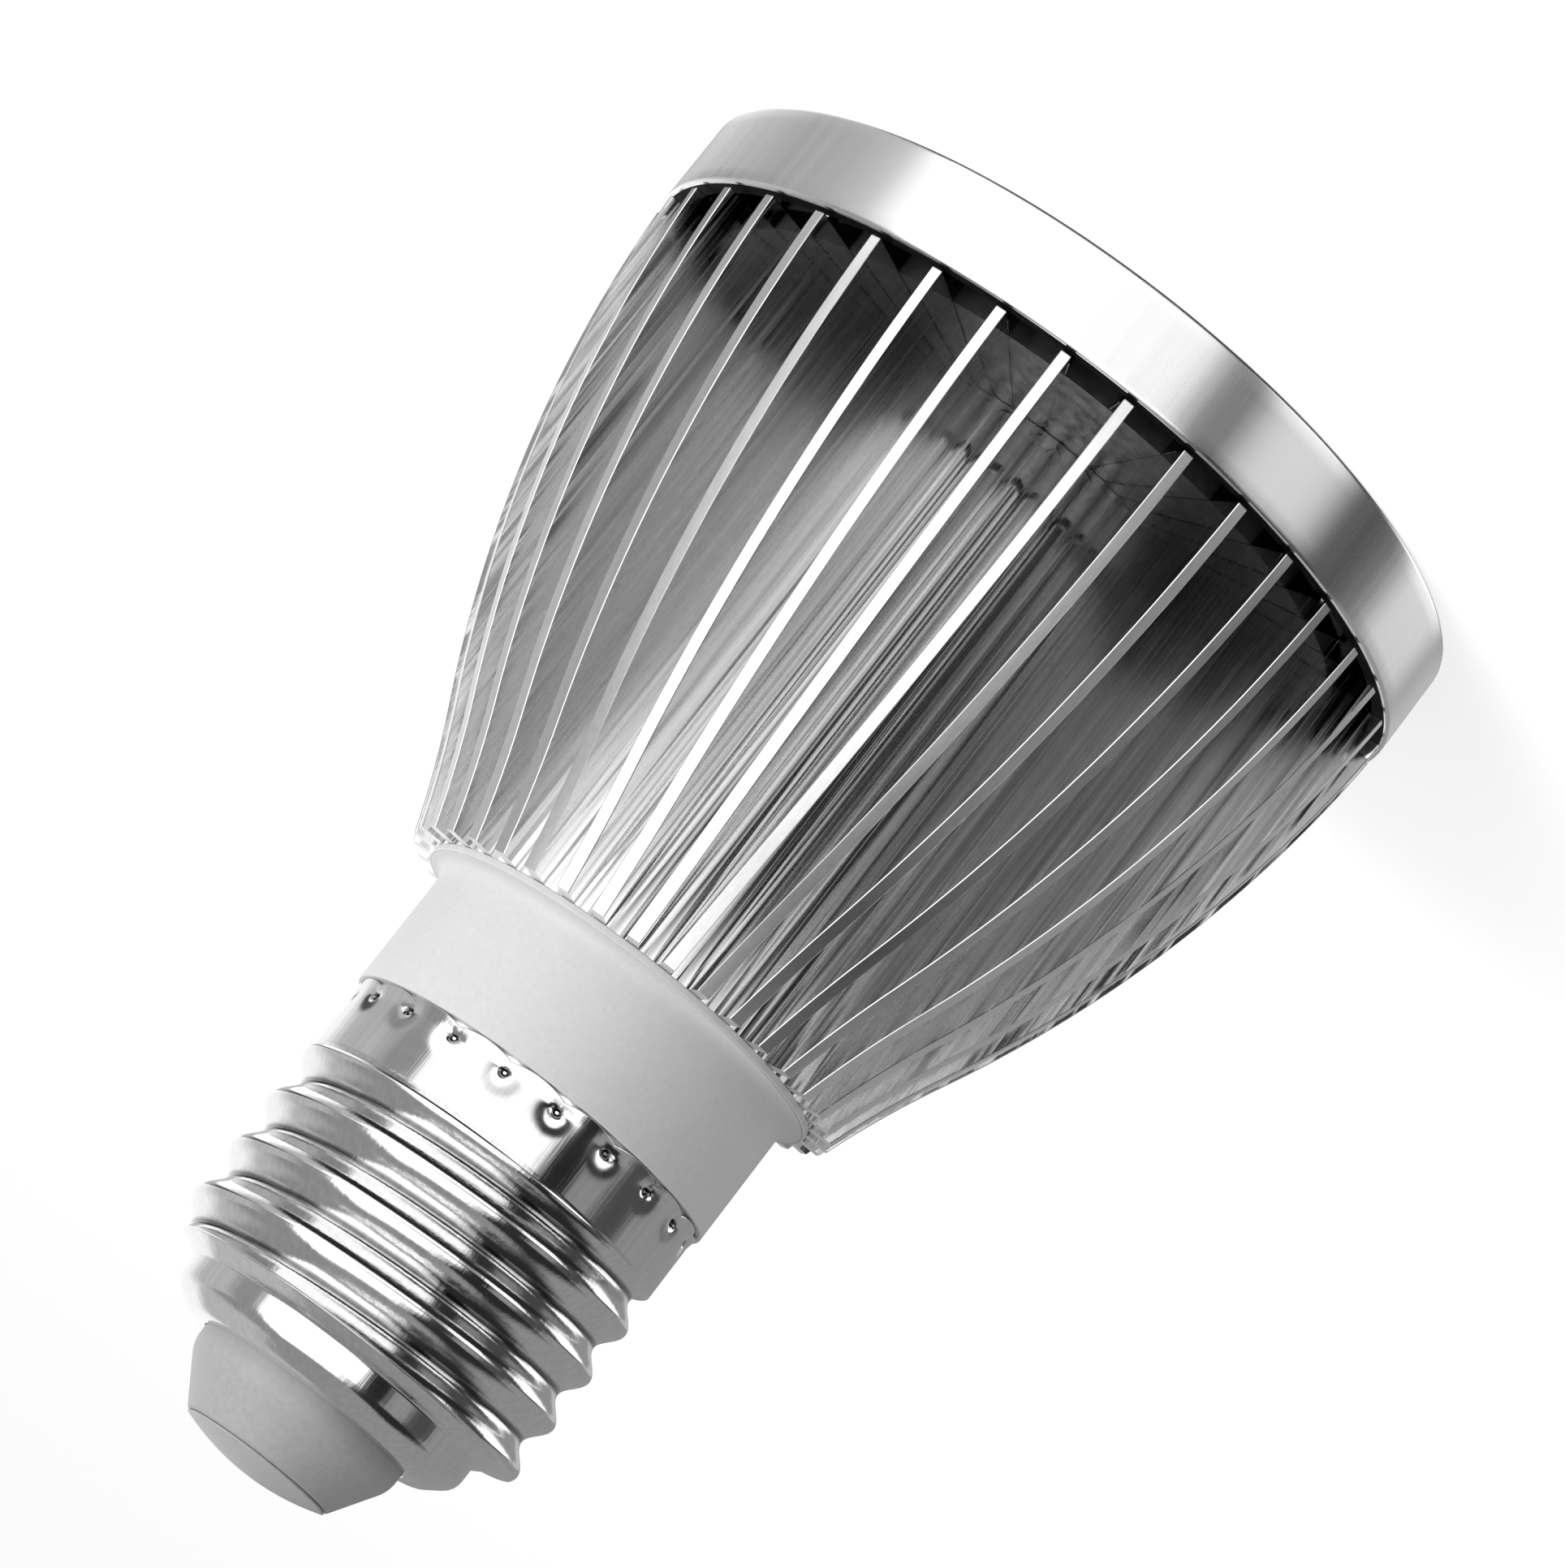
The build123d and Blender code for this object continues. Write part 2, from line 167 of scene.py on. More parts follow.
# %% Front ring
ring_low, ring_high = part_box("front_ring")
ring_wall = 1.3 * mm
ring_lip_width = 3.5 * mm
ring_lip_thickness = 1.2 * mm
ring_columns = 256
ring_radius, ring_height = ring_high.x, ring_high.z
ring_bore, ring_opening = ring_radius - ring_wall, ring_radius - ring_lip_width
ring_lip_top = ring_low.z + ring_lip_thickness
ring_section = (
    (ring_opening, ring_low.z, 0.2 * mm),
    (ring_radius, ring_low.z, 0.35 * mm),
    (ring_radius, ring_height, 0.3 * mm),
    (ring_bore, ring_height, 0.2 * mm),
    (ring_bore, ring_lip_top, 0.2 * mm),
    (ring_opening, ring_lip_top, 0.2 * mm),
)
ring_band = add_turned("ring_band", rounded(ring_section), ring_columns, "front_ring")

# %% [markdown]
# Bell outline. The fins were extruded as a straight star and then turned to a bell on a lathe. The bell
# could be a drawn Bezier curve, but it looks like two arcs that share a tangent: a long one from the
# ring to the waist and a short one that bends back to the end. Arcs need only three points and a lean.


# %% Bell outline
def tangent_arc(start, tangent, end):
    """Centre, signed radius and end tangent of the arc that leaves start along tangent to end. With n
    the tangent turned by a quarter, the radius is |chord|^2 / (2 n.chord) and the centre lies that
    far along n. The end tangent is the end's spoke turned by a quarter."""
    normal = np.array((-tangent[1], tangent[0]))
    chord = end - start
    rho = chord @ chord / (2 * normal @ chord)
    centre = start + rho * normal
    spoke = (end - centre) / rho
    return centre, rho, np.array((-spoke[1], spoke[0]))


def bell_radius(height):
    """Radius of the bell at a height: centre plus or minus the root of rho^2 - (height - centre)^2."""
    on_bell = bell_centre[0] + np.sqrt(np.maximum(bell_rho**2 - (height - bell_centre[1]) ** 2, 0))
    on_flare = flare_centre[0] - np.sqrt(np.maximum(flare_rho**2 - (height - flare_centre[1]) ** 2, 0))
    return np.where(height < bell_waist[1], on_bell, on_flare)


sink_low, sink_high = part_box("heat_sink")
ring_step = 0.1 * mm
waist_radius, waist_drop = 19.5 * mm, 7.8 * mm
bell_end_radius = 16.2 * mm
bell_lean = math.radians(3.4)
bell_front = np.array((ring_radius - ring_step, ring_height))
bell_waist = np.array((waist_radius, sink_high.z - waist_drop))
bell_end = np.array((bell_end_radius, sink_high.z))
bell_tangent = np.array((-math.sin(bell_lean), math.cos(bell_lean)))
bell_centre, bell_rho, waist_tangent = tangent_arc(bell_front, bell_tangent, bell_waist)
flare_centre, flare_rho, _ = tangent_arc(bell_waist, waist_tangent, bell_end)
print("bell and flare arcs in mm:", round(bell_rho / mm, 1), round(flare_rho / mm, 1))
print("waist and end in mm:", np.round(bell_radius(np.array((bell_waist[1], bell_end[1]))) / mm, 2))

# %% [markdown]
# Fin stations. The heat sink could be made fin by fin with an array modifier and a boolean, but the
# star has a simple law: walk round its outline, and let each point keep its place across the fin while
# its radius follows the bell. So the outline of one fin is a short list of stations, from the hub up
# one side, over the tip and down the other. A station has a distance above the hub or below the tip,
# and a gain, which is what it adds to the fin's half width: the fillet at the root, and the edge break
# at the tip.


# %% Fin stations
def there_and_back(half):
    """The stations up one side of a fin and then, in the other order, down its other side."""
    return np.append(half, half[::-1])


fin_edge = 0.045 * mm
root_fillet = 0.45 * mm
root_rise = np.array((0, 0.3, 1.0, 1.4)) * root_fillet
root_gain = np.array((1.0, 0.3, 0, 0)) * root_fillet
tip_drop = np.array((6.0, 1.0, 0, 0)) * fin_edge
tip_gain = np.array((0, 0, -1.0, -2.5)) * fin_edge
half_count = len(root_rise) + len(tip_drop)
station_rise = there_and_back(np.append(root_rise, 0 * tip_drop))
station_drop = there_and_back(np.append(0 * root_rise, tip_drop))
station_gain = there_and_back(np.append(root_gain, tip_gain))
at_tip = there_and_back(np.arange(half_count) >= len(root_rise))
station_side = np.where(np.arange(2 * half_count) < half_count, -1.0, 1.0)
print("stations on a fin:", len(at_tip))

# %% [markdown]
# Star of fins. The list of stations is repeated for every fin and every height. The fins of a real
# extrusion are a little thicker at the root than at the tip, which is the draft of the die. All of this
# is one array of heights by fins by stations, so no loop walks over the points.

# %% Star of fins
fin_count = 38
fin_half = 0.425 * mm
fin_draft = math.tan(math.radians(0.4))
hub_radius = 14.0 * mm
star_row_count = 72
board_low, board_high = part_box("led_board")
seat = board_high.z
fin_angle = np.arange(fin_count) * 2 * np.pi / fin_count


def on_fins(along, across):
    """x and y of places along and across a fin, turned to every fin's angle f:
    x = along cos f - across sin f and y = along sin f + across cos f."""
    fin_cos, fin_sin = np.cos(fin_angle)[:, None], np.sin(fin_angle)[:, None]
    return along * fin_cos - across * fin_sin, along * fin_sin + across * fin_cos


def star(height):
    """Points of the star at each height. A station on the hub has the radius hub + rise, and one at
    the tip has bell - drop. Its place across the fin is the half width there, which grows towards the
    hub by the die's draft times the distance from mid fin."""
    tip = bell_radius(height)[:, None] - station_drop
    radial = np.where(at_tip, tip, hub_radius + station_rise)
    mid_fin = (hub_radius + bell_front[0]) / 2
    half_width = fin_half + station_gain + fin_draft * (mid_fin - radial)
    across = (station_side * half_width)[:, None, :]
    along = np.sqrt(radial[:, None, :] ** 2 - across**2)
    x, y = on_fins(along, across)
    z = height[:, None, None] + 0 * x
    return np.stack((x, y, z), axis=-1).reshape(len(height), -1, 3)


star_rows = star(np.linspace(max(seat, ring_height), sink_high.z, star_row_count))
print("points of the star:", star_rows[..., 0].size)

# %% [markdown]
# Hub and bore. The hub is solid next to the light board, and from there to the cap it is bored out for
# the driver. No boolean is needed for the bore: the grid goes on with a few more rows, in over the end
# of the fins, down the bore and across its floor to the axis, so the heat sink is one closed skin.


# %% Hub and bore
def with_radius(row, radius, height):
    """The same angles as a row of the star, on a circle of another radius at another height."""
    flat = row[:, :2] / np.linalg.norm(row[:, :2], axis=1, keepdims=True) * radius
    return np.column_stack((flat, np.full(len(flat), height)))[None]


bore_radius = 12.2 * mm
bore_floor = 12.6 * mm
sink_points = np.concatenate(
    (
        with_radius(star_rows[0], 0, seat),
        star_rows,
        with_radius(star_rows[-1], bore_radius, sink_high.z),
        with_radius(star_rows[-1], bore_radius, bore_floor),
        with_radius(star_rows[-1], 0, bore_floor),
    )
)
sink_quads = grid_quads(sink_points.shape[0], sink_points.shape[1], False)
print("rows and columns of the heat sink:", sink_points.shape[:2])

# %% [markdown]
# Feet of the fins. Turning the recess for the light board leaves a short foot of every fin inside the
# ring, between the window and the board's seat. They could be extruded from the star, but the recess
# cuts them off from it, so each foot is a small block: four corners in plan at two heights, copied
# round by the fin angles.

# %% Feet of the fins
ring_clearance = 0.1 * mm
sleeve_radius = ring_bore - ring_clearance
foot_radius = np.array((ring_opening, sleeve_radius, sleeve_radius, ring_opening))
foot_side = np.array((-1, -1, 1, 1)) * fin_half
foot_x, foot_y = on_fins(foot_radius, foot_side)
foot_low = np.stack((foot_x, foot_y, 0 * foot_x + sink_low.z), axis=-1)
foot_high = np.stack((foot_x, foot_y, 0 * foot_x + seat), axis=-1)
foot_points = np.concatenate((foot_low, foot_high), axis=1).reshape(-1, 3)
foot_faces = ((0, 1, 5, 4), (1, 2, 6, 5), (2, 3, 7, 6), (3, 0, 4, 7), (3, 2, 1, 0), (4, 5, 6, 7))
points_a_foot = len(foot_points) // fin_count
foot_first = sink_points[..., 0].size + np.arange(fin_count) * points_a_foot
foot_quads = (np.array(foot_faces) + foot_first[:, None, None]).reshape(-1, 4)
print("quads of the feet:", len(foot_quads))

# %% [markdown]
# Heat sink. Star, bore and feet go into one mesh. The die left the sides of the fins as they were
# drawn, while the lathe cut their tips, and the two look different. A material for each could be set
# face by face; one number per point is lighter, and the finish reads it as a mask.

# %% Heat sink
crisp_fin_edge = math.radians(35)
lathe_cut = np.zeros(sink_points.shape[:2])
lathe_cut[1 : 1 + star_row_count] = np.tile(at_tip & (station_gain < 0), fin_count)
fin_bell = add_piece(
    "fin_bell",
    np.concatenate((sink_points.reshape(-1, 3), foot_points)),
    np.concatenate((sink_quads, foot_quads)),
    "heat_sink",
    [("lathe_cut", np.append(lathe_cut, np.zeros(len(foot_points))))],
    crisp_fin_edge,
)

# %% [markdown]
# Neck collar. This is a grey moulding: a tube down the bore for the driver, a flared lip on the end of
# the fins, a plain neck and a spigot in the cap. It could be lofted through rings; one closed section,
# turned, says the same with ten corners, and the flare is just the corner with the large setback.

# %% Neck collar
collar_low, collar_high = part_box("neck_collar")
shell_low, shell_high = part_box("screw_shell")
collar_radius = 13.25 * mm
collar_bore = 10.6 * mm
tube_clearance = 0.2 * mm
tube_radius = bore_radius - tube_clearance
spigot_radius = 12.45 * mm
lip_edge = 0.5 * mm
lip_radius, lip_top = collar_high.x, sink_high.z + lip_edge
flare_setback = 0.92 * (lip_radius - collar_radius)
collar_section = (
    (collar_bore, collar_low.z, 0.2 * mm),
    (tube_radius, collar_low.z, 0.2 * mm),
    (tube_radius, sink_high.z, 0.1 * mm),
    (lip_radius, sink_high.z, 0.12 * mm),
    (lip_radius, lip_top, 0.12 * mm),
    (collar_radius, lip_top, flare_setback),
    (collar_radius, shell_low.z, 0.1 * mm),
    (spigot_radius, shell_low.z, 0.05 * mm),
    (spigot_radius, collar_high.z, 0.2 * mm),
    (collar_bore, collar_high.z, 0.2 * mm),
)
collar_profile = rounded(collar_section, steps=10)
collar_columns = 192
neck_moulding = add_turned(
    "neck_moulding", collar_profile, collar_columns, "neck_collar"
)

# %% [markdown]
# Screw shell, its columns. The cap is thin nickelled metal, drawn to a cup, rolled between two dies and
# crimped on the collar with a row of prick punch marks. The Screw modifier makes a thread, but not with
# a pricked skirt and a turned shoulder in the same skin, so the shell is one grid here too. Its columns
# lie closer together at the pricks, where the form is fine: a' = a - crowding sin(n (a - first)) / n.

# %% Columns of the shell
shell_columns = 400
prick_count = 20
prick_first = math.radians(263.5)
crowding = 0.6
even_turn = np.linspace(0, 2 * np.pi, shell_columns, endpoint=False)
around = even_turn - crowding * np.sin(prick_count * (even_turn - prick_first)) / prick_count
half_step = np.pi / prick_count
prick_turn = (around - prick_first + half_step) % (2 * half_step) - half_step
print("columns of the shell:", shell_columns, "pricks:", prick_count)

# %% [markdown]
# Skirt. The skirt is a plain wall with a slightly rolled edge. A punch leaves a small deep dent in a
# wide shallow one, and pulls the edge towards itself. Sculpting could press each mark in; a sum of two
# bell curves, depth * exp(-reach / size^2) with reach the squared distance from the nearest mark, makes
# all of them alike.


# %% Skirt
def smooth(value, low, high):
    """0 below low, 1 above high, and 3t^2 - 2t^3 between."""
    t = np.clip((value - low) / (high - low), 0, 1)
    return t * t * (3 - 2 * t)


skirt_radius, rim_radius = 12.9 * mm, 13.05 * mm
skirt_end = 61.9 * mm
skirt_row_count, row_bias = 44, 1.6
edge_gap = 0.1 * mm
roll_height, pull_height = 0.9 * mm, 1.6 * mm
prick_height = 0.95 * mm
prick_size, prick_depth = 0.3 * mm, 0.3 * mm
dent_size, dent_depth = 0.9 * mm, 0.14 * mm
edge_dip, edge_pull = 0.06 * mm, 0.32 * mm
skirt_share = np.linspace(0, 1, skirt_row_count)[:, None] ** row_bias
skirt_rows = shell_low.z + edge_gap + skirt_share * (skirt_end - shell_low.z - edge_gap)
edge_roll = (rim_radius - skirt_radius) * (1 - smooth(skirt_rows, shell_low.z, shell_low.z + roll_height))
prick_reach = (prick_turn * skirt_radius) ** 2 + (skirt_rows - shell_low.z - prick_height) ** 2
prick_core = np.exp(-prick_reach / prick_size**2)
dent = prick_depth * prick_core + dent_depth * np.exp(-prick_reach / dent_size**2)
prick_pull = (1 - np.abs(prick_turn) / half_step) ** 2
edge_share = 1 - smooth(skirt_rows, shell_low.z, shell_low.z + pull_height)
skirt_radii = skirt_radius + edge_roll - dent - edge_dip * prick_pull * edge_share
skirt_heights = skirt_rows + edge_pull * prick_pull * edge_share
print("deepest dent in mm:", round(dent.max() / mm, 2))

# %% [markdown]
# Thread. Rolled sheet has no sharp edges, so crest and root are round. A sharp ridge along a helix could
# be rounded after, but a cosine that climbs one pitch a turn has that form already. The radius at angle
# a and height z is the mean plus half the depth times cos(a - 2 pi z / pitch). Beside the skirt's step
# the thread grows out of a plain wall.


# %% Thread
def thread_radius(height):
    """Mean radius plus half the depth times the cosine of the angle to the nearest crest."""
    mean, half = (crest_radius + root_radius) / 2, (crest_radius - root_radius) / 2
    return mean + half * np.cos(around - 2 * np.pi * (height - crest_at_zero) / pitch)


pitch = 3.629 * mm
crest_radius, root_radius = shell_high.x, 12.06 * mm
crest_at_zero = 66.37 * mm
shoulder_edge = 75.9 * mm
thread_row_count = 106
thread_gap, run_in = 0.12 * mm, 0.7 * mm
step_depth = 0.25 * mm
thread_rows = np.linspace(skirt_end + thread_gap, shoulder_edge, thread_row_count)[:, None]
full_thread = thread_radius(thread_rows)
low_thread = np.minimum(full_thread, skirt_radius - step_depth)
grown = smooth(thread_rows, skirt_end, skirt_end + run_in)
thread_radii = low_thread + (full_thread - low_thread) * grown
print("turns of the thread:", round((shoulder_edge - skirt_end) / pitch, 1))

# %% [markdown]
# Shoulder, bead and inner wall. Past the thread the sheet turns in over a shoulder and a round bead to
# a hole for the insulator. The Solidify modifier could give the wall; here the same section goes on
# inside, back to the skirt's edge, so that the inner wall stays clear of the thread. The edge follows
# the pricks too.

# %% Shoulder, bead and inner wall
bead_radius, bead_end_radius = 10.65 * mm, 8.8 * mm
bead_start, bead_top = 76.8 * mm, 78.4 * mm
shell_end = shell_high.z
shell_hole = 7.52 * mm
shell_wall = 0.4 * mm
bead_inside = bead_radius - shell_wall
inner_drop = 0.25 * mm
end_section = (
    (root_radius - 0.01 * mm, shoulder_edge + 0.03 * mm, 0.02 * mm),
    (bead_radius, bead_start, 0.15 * mm),
    (bead_radius, bead_top, 0.7 * mm),
    (bead_end_radius, shell_end, 0.6 * mm),
    (shell_hole, shell_end, 0.08 * mm),
    (shell_hole, shell_end - shell_wall, 0.08 * mm),
    (bead_end_radius - 0.15 * mm, shell_end - shell_wall, 0.2 * mm),
    (bead_inside, bead_top - inner_drop, 0.2 * mm),
    (bead_inside, bead_start - inner_drop, 0.2 * mm),
    (root_radius - shell_wall, shoulder_edge - 0.3 * mm, 0.2 * mm),
    (root_radius - shell_wall, skirt_end, 0.2 * mm),
    (skirt_radius - shell_wall, skirt_end - shell_wall, 0.2 * mm),
    (skirt_radius - shell_wall, shell_low.z, 0.1 * mm),
    (rim_radius - 0.1 * mm, shell_low.z, 0.1 * mm),
)
# The section is open towards the thread, so its first and last lead points are left out
end_profile = rounded(end_section, steps=5)[1:-1]
end_radius, end_height = end_profile[:, :1], end_profile[:, 1:]
on_edge = (end_radius > skirt_radius - 0.3 * mm) & (end_height < shell_low.z + 0.2 * mm)
end_radii = end_radius - edge_dip * prick_pull * on_edge
end_heights = end_height + edge_pull * prick_pull * on_edge
print("rows of the shell:", len(skirt_rows) + len(thread_rows) + len(end_profile))

# %% [markdown]
# Screw shell, the piece. Pricks and thread roots are painted dark, a painted shade for these hollows.
# Painting it on would need an image, so the shade is worked out from the form as a number per point,
# from the core of each prick and from how deep a point lies in the thread.

# %% Screw shell
crisp_sheet_edge = math.radians(50)
# Painted shade: how dark the pricks and thread roots are marked
root_shade_strength = 0.85
root_share = (crest_radius - thread_radii) / (crest_radius - root_radius)
prick_shade = smooth(prick_core, 0.05, 0.45)
root_shade = root_shade_strength * smooth(root_share, 0.94, 1.0)
painted_hollows = np.concatenate((prick_shade, root_shade, 0 * end_radii))
shell_radius = np.concatenate((skirt_radii, thread_radii, end_radii))
shell_height = np.concatenate((skirt_heights, thread_rows + 0 * around, end_heights))
shell_x, shell_y = shell_radius * np.cos(around), shell_radius * np.sin(around)
shell_points = np.stack((shell_x, shell_y, shell_height), axis=-1)
rolled_shell = add_piece(
    "rolled_shell",
    shell_points,
    grid_quads(len(shell_points), shell_columns, True),
    "screw_shell",
    [("painted_hollows", painted_hollows)],
    crisp_sheet_edge,
)

# %% [markdown]
# Insulator. The end of the cap is a grey moulded cone with a short band under it and a plug inside the
# shell. A cone primitive would lack the band and the soft shoulder, so it is a turned section like the
# collar, with a hole for the contact's pin.

# %% Insulator
insulator_low, insulator_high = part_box("cap_insulator")
insulator_radius, insulator_top_radius = 7.5 * mm, 5.3 * mm
pin_hole = 1.05 * mm
plug_radius = insulator_high.x
plug_clearance, plug_chamfer = 0.05 * mm, 0.85 * mm
plug_top = shell_end - shell_wall - plug_clearance
band_height = 1.2 * mm
insulator_section = (
    (pin_hole, insulator_low.z, 0.1 * mm),
    (plug_radius, insulator_low.z, 0.1 * mm),
    (plug_radius, plug_top - plug_chamfer, 0.2 * mm),
    (insulator_radius, plug_top, 0.05 * mm),
    (insulator_radius, shell_end + band_height, 0.7 * mm),
    (insulator_top_radius, insulator_high.z, 0.18 * mm),
    (pin_hole, insulator_high.z, 0.05 * mm),
)
insulator_profile = rounded(insulator_section, steps=10)
insulator_columns = 160
cone_moulding = add_turned(
    "cone_moulding", insulator_profile, insulator_columns, "cap_insulator"
)

# %% [markdown]
# Centre contact. A shallow domed disc closes the end, with a pin through the insulator. A slice of a
# sphere would do; a parabola is a shorter formula, rise * (1 - share^2), and at this depth can't be
# told from one. The profile starts and ends on the axis, so it is turned as an open one with a pole at
# each end.

# %% Centre contact
contact_low, contact_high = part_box("centre_contact")
contact_radius, contact_seat = contact_high.x, insulator_high.z
pin_radius = 1.0 * mm
seam_radius = contact_radius - 0.16 * mm
disc_edge = 0.12 * mm
dome_row_count = 24
dome_share = np.linspace(1, 0, dome_row_count)
dome_rise = (contact_high.z - contact_seat - disc_edge) * (1 - dome_share**2)
dome = np.column_stack((contact_radius * dome_share, contact_seat + disc_edge + dome_rise))
pin = (
    (0, contact_low.z),
    (pin_radius, contact_low.z),
    (pin_radius, contact_seat),
    (seam_radius, contact_seat),
)
contact_profile = np.concatenate((np.array(pin), dome))
contact_columns = 128
contact_dome = add_piece(
    "contact_dome",
    turned(contact_profile, contact_columns),
    grid_quads(len(contact_profile), contact_columns, False),
    "centre_contact",
)

# %% [markdown]
# Camera. It stands in front of the lamp, a little above the middle, and is rolled far round, so that
# the lamp lies across the picture with its cap at the lower left. The lamp could be laid over instead,
# but it stays as the CAD has it, and only the camera turns. Distance, height, roll and lens were fitted
# to circles on the lamp whose real sizes are known.

# %% Camera
aim = Vector((0, 0, 31.0 * mm))
distance = 363.4 * mm
elevation = math.radians(13.23)
roll = math.radians(217.85)
back = Vector((0, -math.cos(elevation), math.sin(elevation)))
level = Vector((1, 0, 0))
upright = back.cross(level)
right = math.cos(roll) * level + math.sin(roll) * upright
up = -math.sin(roll) * level + math.cos(roll) * upright
camera_data = bpy.data.cameras.new("camera")
camera_data.sensor_width = 36.0
camera_data.lens = 133.16
camera = bpy.data.objects.new("camera", camera_data)
camera_turn = Matrix((right, up, back)).transposed().to_4x4()
camera.matrix_world = Matrix.Translation(aim + distance * back) @ camera_turn
bpy.context.scene.collection.objects.link(camera)
bpy.context.scene.camera = camera
print("camera at", [round(value, 4) for value in camera.matrix_world.translation])

# %% [markdown]
# Finishes. All of them are node materials on Object coordinates, so they sit still on the piece from
# every side. Nodes could be wired one by one in the editor; as every finish here is a base, a noise and
# what the noise changes, a few helpers write that down once. A noise has its own scale along each axis,
# because the marks of a die or a lathe are long one way and fine the other.


# %% Finish helpers
noise_roughness = 0.6


def grey(level):
    """A colour with that level in red, green and blue."""
    return (level, level, level)


def new_finish(name, colour, metallic, roughness):
    """A Principled material with its plain values set on the shader's own sockets."""
    material = bpy.data.materials.new(name)
    material.use_nodes = True
    shader = material.node_tree.nodes["Principled BSDF"]
    shader.inputs["Base Color"].default_value = (*colour, 1)
    shader.inputs["Metallic"].default_value = metallic
    shader.inputs["Roughness"].default_value = roughness
    print("finish:", name)
    return material, material.node_tree, shader


def add_node(tree, kind, inputs=(), **settings):
    """A node of that kind, with its settings and its unlinked inputs filled in."""
    node = tree.nodes.new(kind)
    for name, value in settings.items():
        setattr(node, name, value)
    for name, value in inputs:
        node.inputs[name].default_value = value
    return node


def feed(tree, value, socket):
    """Another node's output is linked to a socket, and a plain value is set on it."""
    if isinstance(value, bpy.types.NodeSocket):
        tree.links.new(value, socket)
    else:
        socket.default_value = value


def object_place(tree):
    """Where the shaded point lies on its piece."""
    return add_node(tree, "ShaderNodeTexCoord").outputs["Object"]


def stretched_noise(tree, scale, detail):
    """Noise on Object coordinates, with its own scale along each axis, per metre."""
    mapping = add_node(tree, "ShaderNodeMapping", (("Scale", scale),))
    inputs = (("Scale", 1.0), ("Detail", detail), ("Roughness", noise_roughness))
    noise = add_node(tree, "ShaderNodeTexNoise", inputs)
    feed(tree, object_place(tree), mapping.inputs["Vector"])
    feed(tree, mapping.outputs["Vector"], noise.inputs["Vector"])
    return noise.outputs["Fac"]


def wear(piece, material):
    """The piece gets this finish and no other."""
    piece.data.materials.clear()
    piece.data.materials.append(material)
    print(piece.name, "wears", material.name)


print("roughness of the noise:", noise_roughness)

# %% [markdown]
# Mixing. No real surface has one even colour or gloss, so a noise shades each of them, and lifts the
# surface a little too. The Color Ramp node could shade by eye; two levels and a mix are easier to read
# and to change.


# %% Mixing helpers
noise_low, noise_high = 0.3, 0.7


def spread(tree, value, low, high, start=noise_low, end=noise_high):
    """The middle of a noise, from start to end, spread over low to high."""
    span = (("From Min", start), ("From Max", end), ("To Min", low), ("To Max", high))
    node = add_node(tree, "ShaderNodeMapRange", span)
    feed(tree, value, node.inputs["Value"])
    return node.outputs["Result"]


def either(tree, mask, outside, within, data_type="RGBA"):
    """One colour or value where the mask is 0 and another where it is 1."""
    mix = add_node(tree, "ShaderNodeMix", data_type=data_type)
    feed(tree, mask, mix.inputs["Factor"])
    feed(tree, outside, mix.inputs["A"])
    feed(tree, within, mix.inputs["B"])
    return mix.outputs["Result"]


def shade(tree, value, dark, light):
    """A colour between dark and light, by a noise."""
    return either(tree, spread(tree, value, 0, 1), (*dark, 1), (*light, 1))


def relief(tree, shader, value, depth):
    """Fine bumps of that depth, in metres, from a pattern."""
    bump = add_node(tree, "ShaderNodeBump", (("Strength", 1.0), ("Distance", depth)))
    feed(tree, value, bump.inputs["Height"])
    feed(tree, bump.outputs["Normal"], shader.inputs["Normal"])


print("part of the noise that is spread:", noise_low, "to", noise_high)

# %% [markdown]
# Masks. A finish also says where one look gives way to another, such as clean metal to stained. That
# could be painted as vertex colours, but height and distance from the axis already tell the place. A
# mask is 0 on one side of such a line and 1 on the other, over a short step, and a mix takes its look
# from it.


# %% Mask helpers
sharp_step = 0.02 * mm


def combined(tree, operation, first, second):
    """Two values through one operation of the Math node."""
    node = add_node(tree, "ShaderNodeMath", operation=operation)
    feed(tree, first, node.inputs[0])
    feed(tree, second, node.inputs[1])
    return node.outputs[0]


def height_on_piece(tree):
    """z of the shaded point."""
    place = add_node(tree, "ShaderNodeSeparateXYZ")
    feed(tree, object_place(tree), place.inputs["Vector"])
    return place.outputs["Z"]


def rise(tree, low, high):
    """0 below one height on the piece, 1 above another, and a smooth step between."""
    span = (("From Min", low), ("From Max", high))
    step = add_node(tree, "ShaderNodeMapRange", span, interpolation_type="SMOOTHSTEP")
    feed(tree, height_on_piece(tree), step.inputs["Value"])
    return step.outputs["Result"]


def axis_distance(tree):
    """Length of (x, y, 0): how far the shaded point is from the lamp's axis."""
    flat = add_node(tree, "ShaderNodeVectorMath", operation="MULTIPLY")
    length = add_node(tree, "ShaderNodeVectorMath", operation="LENGTH")
    feed(tree, object_place(tree), flat.inputs[0])
    feed(tree, (1, 1, 0), flat.inputs[1])
    feed(tree, flat.outputs["Vector"], length.inputs[0])
    return length.outputs["Value"]


print("sharpest step of a mask in mm:", sharp_step / mm)
